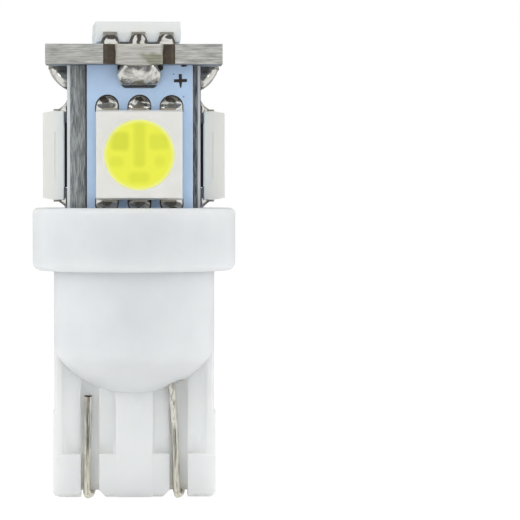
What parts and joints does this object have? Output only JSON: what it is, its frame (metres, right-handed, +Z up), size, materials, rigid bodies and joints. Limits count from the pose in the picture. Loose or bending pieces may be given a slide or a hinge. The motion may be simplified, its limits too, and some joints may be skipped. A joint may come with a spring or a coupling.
{
  "type": "wedge base led bulb",
  "caption": "Wedge base bulb with flat LEDs on upright circuit boards and on a square top board, for a slide-in lamp socket.",
  "frame": {"origin": "on the bulb's axis, level with the lowest point of the wire loops at the tip of the wedge blade", "axes": "+Z runs up the bulb from the blade to the top LED, the blade's broad faces and the front and back LEDs look along Y, and the blade's width lies along X"},
  "size_m": [0.012, 0.012, 0.0281],
  "materials": {
    "base_plastic": "moulded white nylon, slightly translucent, satin",
    "tinned_wire": "bare copper wire, tinned",
    "board": "glass epoxy board with a pale solder mask",
    "solder": "bright solder",
    "resistor": "alumina chip with a black glaze",
    "terminal": "tin plate",
    "led_plastic": "moulded white polyphthalamide",
    "phosphor": "silicone filled with yellow phosphor",
    "die": "gallium nitride on sapphire"
  },
  "bodies": {
    "root": {"base_housing": "base_plastic", "lead_wire_right": "tinned_wire", "lead_wire_left": "tinned_wire", "top_board": "board", "front_board": "board", "front_top_solder": "solder", "front_corner_solder": "solder", "front_resistor": "resistor", "front_resistor_caps": "terminal", "front_resistor_solder": "solder", "right_board": "board", "right_top_solder": "solder", "right_corner_solder": "solder", "right_resistor": "resistor", "right_resistor_caps": "terminal", "right_resistor_solder": "solder", "back_board": "board", "back_top_solder": "solder", "back_corner_solder": "solder", "back_resistor": "resistor", "back_resistor_caps": "terminal", "back_resistor_solder": "solder", "left_board": "board", "left_top_solder": "solder", "left_corner_solder": "solder", "left_resistor": "resistor", "left_resistor_caps": "terminal", "left_resistor_solder": "solder", "front_wire_solder": "solder", "back_wire_solder": "solder", "front_led_housing": "led_plastic", "front_led_phosphor": "phosphor", "front_led_leads": "terminal", "front_led_dies": "die", "front_led_solder": "solder", "right_led_housing": "led_plastic", "right_led_phosphor": "phosphor", "right_led_leads": "terminal", "right_led_dies": "die", "right_led_solder": "solder", "back_led_housing": "led_plastic", "back_led_phosphor": "phosphor", "back_led_leads": "terminal", "back_led_dies": "die", "back_led_solder": "solder", "left_led_housing": "led_plastic", "left_led_phosphor": "phosphor", "left_led_leads": "terminal", "left_led_dies": "die", "left_led_solder": "solder", "top_led_housing": "led_plastic", "top_led_phosphor": "phosphor", "top_led_leads": "terminal", "top_led_dies": "die", "top_led_solder": "solder"}
  },
  "joints": []
}
